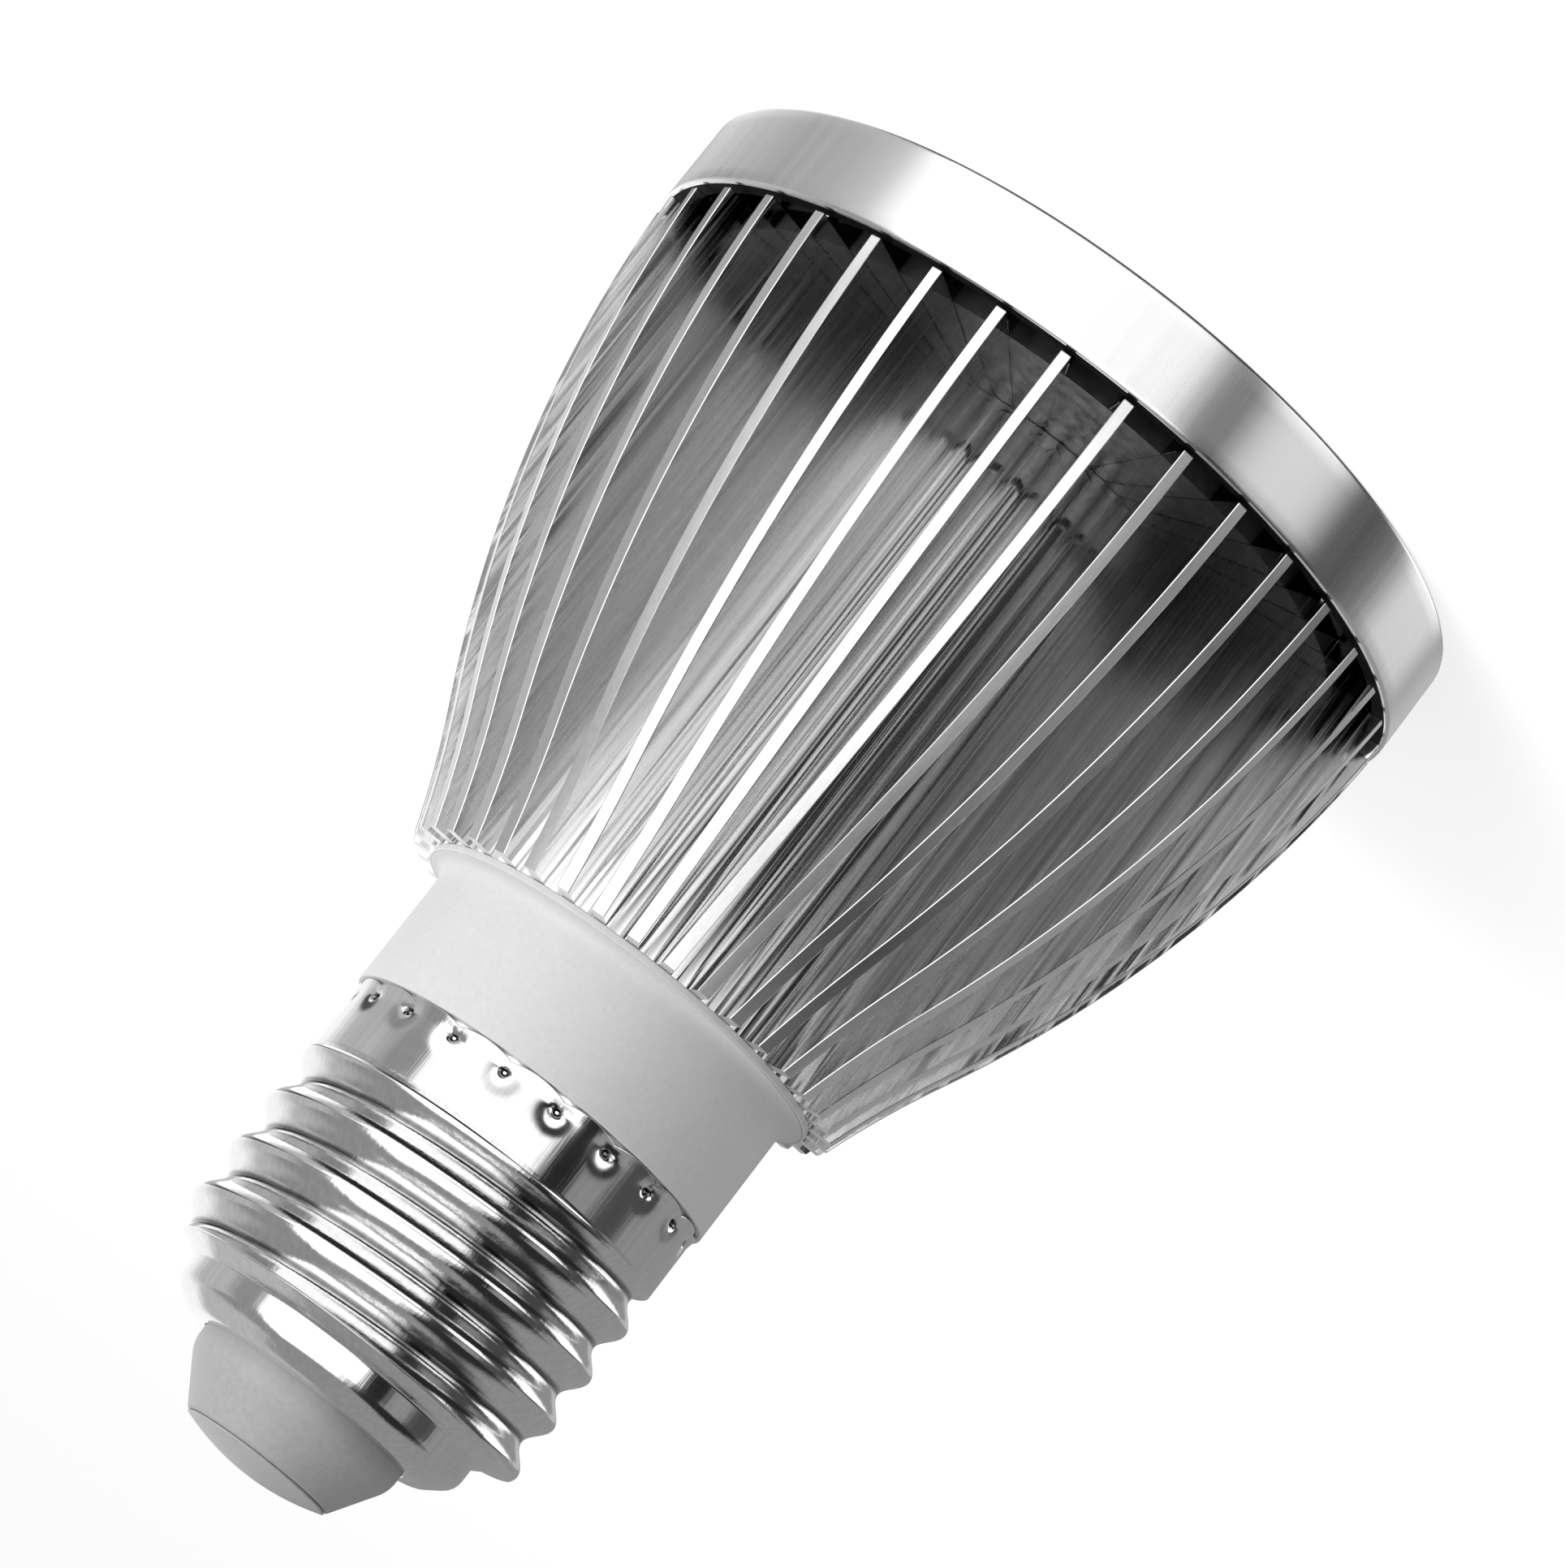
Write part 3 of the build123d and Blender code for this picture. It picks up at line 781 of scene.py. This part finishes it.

# %% [markdown]
# Turned aluminium, for the ring. The lathe left fine grooves round it, which blur a mirror image along
# the axis only. Grooves that fine can't be modelled, so the shader is anisotropic with its tangent
# round Z, and a weak relief of thin rings goes with it. The inside of the ring is painted near black and
# rough: a painted shade for the deep shade between ring and fins.


# %% Turned aluminium
def turned_aluminium():
    material, tree, shader = new_finish("turned_aluminium", grey(0.9), 1.0, 0.38)
    shader.inputs["Anisotropic"].default_value = 0.8
    shader.inputs["Anisotropic Rotation"].default_value = 0.25
    around_axis = add_node(tree, "ShaderNodeTangent", direction_type="RADIAL", axis="Z")
    feed(tree, around_axis.outputs["Tangent"], shader.inputs["Tangent"])
    glints = stretched_noise(tree, (1100, 1100, 12), 4)
    bright = shade(tree, glints, grey(0.89), grey(0.94))
    # Painted shade: the inside of the ring is near black, for the deep shade between ring and fins
    inner_shade = shade(tree, glints, grey(0.014), grey(0.028))
    lip_line = ring_lip_top + 0.1 * mm
    over_lip = rise(tree, lip_line, lip_line + sharp_step)
    within_band = combined(tree, "LESS_THAN", axis_distance(tree), ring_radius - 0.3 * mm)
    inside = combined(tree, "MULTIPLY", over_lip, within_band)
    rough = either(tree, inside, spread(tree, glints, 0.24, 0.28), 0.8, "FLOAT")
    feed(tree, either(tree, inside, bright, inner_shade), shader.inputs["Base Color"])
    feed(tree, rough, shader.inputs["Roughness"])
    relief(tree, shader, stretched_noise(tree, (4, 4, 5000), 2), 0.0001 * mm)
    return material


wear(ring_band, turned_aluminium())

# %% [markdown]
# Extruded aluminium, for the fins. The die drew streaks along the fins: between polished lines lie
# rough ones, which scatter the light of the studio into the gaps. So one streak noise, long along Z,
# moves colour, roughness and relief together. The cut tips are evenly satin. Near the ring the sides
# are painted a little darker, a painted shade for the deep corner there, and the feet inside the ring
# are painted near black, a painted shade. An image of brushed metal would not follow the 38 fins.


# %% Extruded aluminium
# Heights over which the painted shade on the fin sides fades out
shade_low, shade_high = 8.0 * mm, 15.5 * mm
cut_roughness = 0.3


def point_mark(tree, name):
    """The number that a piece carries per point under that name."""
    return add_node(tree, "ShaderNodeAttribute", attribute_name=name).outputs["Fac"]


def extruded_aluminium():
    material, tree, shader = new_finish("extruded_aluminium", grey(0.9), 1.0, 0.1)
    streaks = stretched_noise(tree, (3500, 3500, 12), 4)
    drawn = shade(tree, streaks, grey(0.84), grey(0.96))
    # Painted shade: the fin sides are darker near the ring
    shaded_sides = shade(tree, streaks, grey(0.80), grey(0.90))
    # Painted shade: the feet inside the ring are near black
    foot = shade(tree, streaks, grey(0.02), grey(0.04))
    cut = point_mark(tree, "lathe_cut")
    unshaded = combined(tree, "MAXIMUM", rise(tree, shade_low, shade_high), cut)
    sides = either(tree, unshaded, shaded_sides, drawn)
    over_seat = rise(tree, seat, seat + 0.1 * mm)
    polished_to_rough = spread(tree, streaks, 0.05, 0.42, start=0.51, end=0.74)
    rough = either(tree, cut, polished_to_rough, cut_roughness, "FLOAT")
    feed(tree, either(tree, over_seat, foot, sides), shader.inputs["Base Color"])
    feed(tree, rough, shader.inputs["Roughness"])
    relief(tree, shader, streaks, 0.0025 * mm)
    return material


wear(fin_bell, extruded_aluminium())

# %% [markdown]
# Polished nickel, for the cap. The plating is a mirror, but a handled one: smears make its gloss
# uneven, fine scratches run along the axis, and the mark on the mesh paints pricks and thread roots
# dark, a painted shade. A clean chrome preset would look like a drawing of a cap.


# %% Polished nickel
def polished_nickel():
    material, tree, shader = new_finish("polished_nickel", grey(0.80), 1.0, 0.12)
    smears = stretched_noise(tree, (220, 220, 420), 4)
    scratches = stretched_noise(tree, (2600, 2600, 60), 4)
    bright = shade(tree, scratches, grey(0.76), grey(0.88))
    # Painted shade: the marked pricks and thread roots are near black
    hollow_shade = shade(tree, scratches, grey(0.03), grey(0.08))
    feed(tree, either(tree, point_mark(tree, "painted_hollows"), bright, hollow_shade), shader.inputs["Base Color"])
    feed(tree, spread(tree, smears, 0.07, 0.15), shader.inputs["Roughness"])
    relief(tree, shader, scratches, 0.011 * mm)
    return material


wear(rolled_shell, polished_nickel())

# %% [markdown]
# Mouldings. The collar, the insulator and the satin contact scatter light instead of mirroring it. A
# plain grey would look like clay, so fine specks change colour, gloss and relief a little, as the skin
# of a moulding does. The same helper serves the small pieces inside, with other colours and grains.


# %% Moulded finishes
def moulded(name, dark, light, roughness, grain=2500, depth=0.003, metallic=0.0):
    """Specks of so many per metre in a colour from dark to light, with a relief of that depth in mm."""
    material, tree, shader = new_finish(name, light, metallic, roughness)
    specks = stretched_noise(tree, (grain, grain, grain), 3)
    feed(tree, shade(tree, specks, dark, light), shader.inputs["Base Color"])
    feed(tree, spread(tree, specks, roughness - 0.05, roughness + 0.05), shader.inputs["Roughness"])
    relief(tree, shader, specks, depth * mm)
    return material


wear(neck_moulding, moulded("grey_moulding", grey(0.58), grey(0.62), 0.36))
wear(cone_moulding, moulded("cap_moulding", grey(0.32), grey(0.36), 0.42))
wear(contact_dome, moulded("contact_satin", grey(0.37), grey(0.42), 0.4))

# %% [markdown]
# Light board. It is white towards the plants, and its back is painted near black, a painted shade
# for the dark inside that the fins mirror near the ring. Two materials on one CAD mesh would need its
# faces picked out, so the colour goes by height.


# %% Light board
def light_board():
    material, tree, shader = new_finish("light_board", (0.8, 0.8, 0.78), 0.0, 0.4)
    specks = stretched_noise(tree, (900, 900, 900), 4)
    white = shade(tree, specks, (0.76, 0.76, 0.73), (0.84, 0.84, 0.82))
    # Painted shade: the back of the board is near black
    back_shade = shade(tree, specks, (0.030, 0.030, 0.031), (0.050, 0.050, 0.051))
    behind = combined(tree, "GREATER_THAN", height_on_piece(tree), board_low.z + 0.05 * mm)
    feed(tree, either(tree, behind, white, back_shade), shader.inputs["Base Color"])
    feed(tree, spread(tree, specks, 0.32, 0.55), shader.inputs["Roughness"])
    relief(tree, shader, specks, 0.01 * mm)
    return material


inner_finishes = {"board_white": light_board()}

# %% [markdown]
# Emitters. Each is a white square package with tinted resin in a well that faces down. The resin's face
# is flat, so it is what faces down and lies in the well: a mask by the normal times a mask by height.


# %% Emitters
well_height = 3.7 * mm
faces_down = -0.9


def emitter(name, resin_dark, resin_light):
    material, tree, shader = new_finish(name, resin_light, 0.0, 0.25)
    specks = stretched_noise(tree, (3000, 3000, 3000), 3)
    package = shade(tree, specks, (0.72, 0.72, 0.70), (0.80, 0.80, 0.78))
    resin = shade(tree, specks, resin_dark, resin_light)
    facing = add_node(tree, "ShaderNodeSeparateXYZ")
    feed(tree, add_node(tree, "ShaderNodeNewGeometry").outputs["Normal"], facing.inputs["Vector"])
    down = combined(tree, "LESS_THAN", facing.outputs["Z"], faces_down)
    in_well = combined(tree, "GREATER_THAN", height_on_piece(tree), well_height)
    resin_face = combined(tree, "MULTIPLY", in_well, down)
    feed(tree, either(tree, resin_face, package, resin), shader.inputs["Base Color"])
    feed(tree, spread(tree, specks, 0.15, 0.35), shader.inputs["Roughness"])
    relief(tree, shader, specks, 0.004 * mm)
    return material


inner_finishes["emitter_red"] = emitter("red_emitter", (0.32, 0.010, 0.008), (0.48, 0.022, 0.016))
inner_finishes["emitter_blue"] = emitter("blue_emitter", (0.010, 0.028, 0.34), (0.020, 0.050, 0.50))

# %% [markdown]
# Clear window. A clear disc whose rim under the ring's lip is painted black, a painted shade that hides
# its seat and keeps the pocket under the lip dark. Two pieces could be made of it, but the CAD has one
# disc, so glass and black rim are one shader: on the rim the transmission goes away and the black comes
# in.


# %% Clear window
def clear_window():
    material, tree, shader = new_finish("clear_window", (0.96, 0.97, 0.97), 0.0, 0.03)
    shader.inputs["IOR"].default_value = 1.49
    haze = stretched_noise(tree, (120, 120, 120), 4)
    glass = shade(tree, haze, (0.93, 0.95, 0.95), (0.98, 0.98, 0.98))
    # Painted shade: the rim is near black
    rim_shade = shade(tree, haze, grey(0.006), grey(0.012))
    rim = combined(tree, "GREATER_THAN", axis_distance(tree), ring_opening - 0.1 * mm)
    feed(tree, either(tree, rim, glass, rim_shade), shader.inputs["Base Color"])
    feed(tree, combined(tree, "SUBTRACT", 1.0, rim), shader.inputs["Transmission Weight"])
    feed(tree, spread(tree, haze, 0.01, 0.06), shader.inputs["Roughness"])
    relief(tree, shader, haze, 0.002 * mm)
    return material


inner_finishes["window_clear"] = clear_window()

# %% [markdown]
# Small pieces inside. Screws, driver and leads keep their CAD meshes, as their plain forms are right,
# and only get finishes. Each row is a slot of the record with the finish's name, its dark and light
# colour, roughness, grain per metre, relief in millimetres and, for metal, a last 1.

# %% Small pieces inside
small_finishes = (
    ("driver_board_green", "solder_mask", (0.010, 0.065, 0.026), (0.018, 0.095, 0.040), 0.35, 700, 0.01),
    ("core_ferrite", "ferrite", (0.018, 0.018, 0.019), (0.035, 0.035, 0.037), 0.6, 1800, 0.02),
    ("winding_tape", "coil_tape", (0.42, 0.27, 0.016), (0.54, 0.36, 0.03), 0.25, 500, 0.01),
    ("capacitor_sleeve", "shrunk_sleeve", (0.006, 0.009, 0.020), (0.012, 0.016, 0.034), 0.25, 900, 0.006),
    ("package_black", "black_epoxy", grey(0.006), grey(0.014), 0.5, 4000, 0.006),
    ("resistor_body", "dull_lacquer", (0.09, 0.18, 0.13), (0.13, 0.24, 0.17), 0.45, 1500, 0.006),
    ("lead_red", "red_insulation", (0.26, 0.008, 0.006), (0.36, 0.014, 0.010), 0.35, 1200, 0.004),
    ("lead_black", "black_insulation", grey(0.004), grey(0.010), 0.35, 1200, 0.004),
    ("screw_steel", "zinc_steel", (0.48, 0.48, 0.47), (0.60, 0.60, 0.60), 0.3, 1500, 0.004, 1.0),
)
for slot, *finish in small_finishes:
    inner_finishes[slot] = moulded(*finish)
for subpart in frame["record"]["subparts"]:
    if subpart["material_slot"] in inner_finishes:
        wear(bpy.data.objects[subpart["node"]], inner_finishes[subpart["material_slot"]])

# %% [markdown]
# Floor. The lamp stands on a wide pale floor that is white in the picture and still holds the lamp's
# shadow. More light would burn the lamp out, so the floor itself glows a little, and only for rays that
# look at it. It is kept out of mirror rays, because the cloth that the metal mirrors goes on below it.

# %% Floor
floor_reach, floor_drop = 12.0, 0.05 * mm
floor_glow = 0.56
floor_mesh = bpy.data.meshes.new("floor")
floor_corner = np.array(((-1, -1, 0), (1, -1, 0), (1, 1, 0), (-1, 1, 0))) * floor_reach
floor_mesh.from_pydata((floor_corner - (0, 0, floor_drop)).tolist(), [], [(0, 1, 2, 3)])
floor = bpy.data.objects.new("floor", floor_mesh)
bpy.context.scene.collection.objects.link(floor)
floor.visible_glossy = False
pale_floor, floor_tree, floor_shader = new_finish("pale_floor", grey(0.8), 0.0, 0.9)
floor_shader.inputs["Specular IOR Level"].default_value = 0.0
floor_shader.inputs["Emission Color"].default_value = (1, 1, 1, 1)
floor_ray = add_node(floor_tree, "ShaderNodeLightPath").outputs
seen = combined(floor_tree, "MAXIMUM", floor_ray["Is Camera Ray"], floor_ray["Is Transmission Ray"])
seen = combined(floor_tree, "MAXIMUM", seen, floor_ray["Is Glossy Ray"])
glow = combined(floor_tree, "MULTIPLY", seen, floor_glow)
feed(floor_tree, glow, floor_shader.inputs["Emission Strength"])
wear(floor, pale_floor)

# %% [markdown]
# Studio tent. Polished metal shows what stands round it more than its own colour. So the sky has two
# faces: even light for plastic and floor, and for mirror rays a tent of plain cloth panels. Panels
# could be planes with emission, but then they would light the floor too; a ramp over the compass needs
# no mesh. A panel goes from one turn off the camera to another, in degrees, + to its right, and cloths
# blend between panels.

# %% Studio tent
world = bpy.data.worlds.new("studio")
bpy.context.scene.world = world
world.use_nodes = True
sky = world.node_tree
cloths = {"white": 1.0, "pale": 0.7, "silver": 0.35, "grey": 0.2, "dark": 0.05, "black": 0.015}
direction = add_node(sky, "ShaderNodeTexCoord").outputs["Generated"]
to_camera = add_node(sky, "ShaderNodeMapping", (("Rotation", (0, 0, math.radians(90))),))
compass = add_node(sky, "ShaderNodeTexGradient", gradient_type="RADIAL")
ray = add_node(sky, "ShaderNodeSeparateXYZ")
feed(sky, direction, to_camera.inputs["Vector"])
feed(sky, to_camera.outputs["Vector"], compass.inputs["Vector"])
feed(sky, direction, ray.inputs["Vector"])


def cloth_colour(cloth):
    """A cloth's level as a colour that a node takes."""
    return (*grey(cloths[cloth]), 1)


def cloth_ramp(panels):
    """The panels' cloths over the compass. A turn t lies at the share 0.5 - t / 360 of the ramp."""
    ramp = add_node(sky, "ShaderNodeValToRGB")
    feed(sky, compass.outputs["Fac"], ramp.inputs["Fac"])
    seams = [(turn, cloth) for start, end, cloth in panels for turn in (start, end)]
    stops = ramp.color_ramp.elements
    while len(stops) < len(seams):
        stops.new(0.5)
    for stop, (turn, cloth) in zip(stops, seams):
        stop.position = 0.5 - turn / 360
        stop.color = cloth_colour(cloth)
    return ramp.outputs["Color"]


def over_height(low, high, below, above):
    """One cloth below a seam and another above it. A ray's z is the sine of its height."""
    span = (("From Min", math.sin(math.radians(low))), ("From Max", math.sin(math.radians(high))))
    share = add_node(sky, "ShaderNodeMapRange", span, interpolation_type="SMOOTHSTEP")
    feed(sky, ray.outputs["Z"], share.inputs["Value"])
    return either(sky, share.outputs["Result"], below, above)


print("cloths of the tent:", ", ".join(cloths))

# %% [markdown]
# Hem and skirt. The camera looks down on the lamp, so an upright wall mirrors what hangs below the
# horizon, and the lower it stands, the lower the cloth that it shows. The ring mirrors the hem, and the
# walls between the fins mirror the skirt above it. The dark panels at the right of the skirt make the
# dark gaps of that side, and its white panel makes the bright gaps left of the middle.

# %% Hem and skirt
tent_hem = (
    (180, 145, "grey"),
    (134, 110, "white"),
    (100, 76, "dark"),
    (67, 43, "white"),
    (36, 24, "grey"),
    (18, -73, "white"),
    (-77, -112, "silver"),
    (-150, -180, "white"),
)
tent_skirt = (
    (180, 150, "silver"),
    (114, 72, "dark"),
    (54, 5, "black"),
    (-44, -62, "white"),
    (-92, -100, "grey"),
    (-116, -138, "dark"),
    (-158, -180, "silver"),
)
print("panels of hem and skirt:", len(tent_hem + tent_skirt))

# %% [markdown]
# Wall and canopy. These are the two high storeys. The wall stands level with the lamp and shows in the
# skirt of the cap and in the tips of the fins. The canopy shows in the flanks of the thread that face up.

# %% Wall and canopy
tent_wall = (
    (180, 90, "grey"),
    (84, 68, "dark"),
    (60, 46, "grey"),
    (41, 26, "black"),
    (20, -60, "white"),
    (-66, -84, "grey"),
    (-98, -128, "silver"),
    (-150, -180, "pale"),
)
tent_canopy = (
    (180, 110, "grey"),
    (90, 30, "black"),
    (4, -58, "white"),
    (-66, -110, "grey"),
    (-130, -180, "silver"),
)
print("panels of wall and canopy:", len(tent_wall + tent_canopy))

# %% [markdown]
# Hang the tent. Each storey starts at a seam, given by the heights in degrees between which one cloth
# turns to the next. Below the hem it is black, and grey closes the top. The Light Path node then sends
# mirror rays to the tent and all others to the even light.

# %% Hang the tent
tent_strength, even_strength = 1.5, 0.5
storeys = ((-50, -40, tent_hem), (-20, -18, tent_skirt), (-12, -10, tent_wall), (22, 30, tent_canopy))
tent_cloth = cloth_colour("black")
for low, high, panels in storeys:
    tent_cloth = over_height(low, high, tent_cloth, cloth_ramp(panels))
tent_cloth = over_height(58, 68, tent_cloth, cloth_colour("grey"))
tent = add_node(sky, "ShaderNodeBackground", (("Strength", tent_strength),))
even_light = sky.nodes["Background"]
even_light.inputs["Color"].default_value = (1, 1, 1, 1)
even_light.inputs["Strength"].default_value = even_strength
two_faces = add_node(sky, "ShaderNodeMixShader")
feed(sky, tent_cloth, tent.inputs["Color"])
feed(sky, add_node(sky, "ShaderNodeLightPath").outputs["Is Glossy Ray"], two_faces.inputs["Fac"])
feed(sky, even_light.outputs["Background"], two_faces.inputs[1])
feed(sky, tent.outputs["Background"], two_faces.inputs[2])
feed(sky, two_faces.outputs["Shader"], sky.nodes["World Output"].inputs["Surface"])
print("storeys of the tent:", len(storeys))

# %% [markdown]
# Key light. Even light alone leaves the mouldings flat, so one large square lamp from the left and
# above shapes them. A sun would throw a hard shadow; an area lamp nearly as large as its distance
# throws a soft one. The mirrors have their tent, so they don't show it. Light passes many times between
# two fins before it comes out, so more bounces than usual are allowed.

# %% Key light
key_turn, key_height = math.radians(-55), math.radians(30)
key_reach, key_size, key_watts = 0.6, 0.45, 3.2
key_data = bpy.data.lights.new("key_softbox", "AREA")
key_data.size = key_size
key_data.energy = key_watts
key_softbox = bpy.data.objects.new("key_softbox", key_data)
key_level = Vector((-math.sin(key_turn), -math.cos(key_turn), 0))
key_away = key_reach * (math.cos(key_height) * key_level + math.sin(key_height) * Vector((0, 0, 1)))
key_facing = key_away.to_track_quat("Z", "Y").to_matrix().to_4x4()
key_softbox.matrix_world = Matrix.Translation(aim + key_away) @ key_facing
key_softbox.visible_glossy = False
bpy.context.scene.collection.objects.link(key_softbox)
bpy.context.scene.view_settings.view_transform = "Standard"
mirror_bounces = 24
bpy.context.scene.cycles.max_bounces = mirror_bounces
bpy.context.scene.cycles.glossy_bounces = mirror_bounces
print("key light at", [round(value, 3) for value in key_softbox.matrix_world.translation])
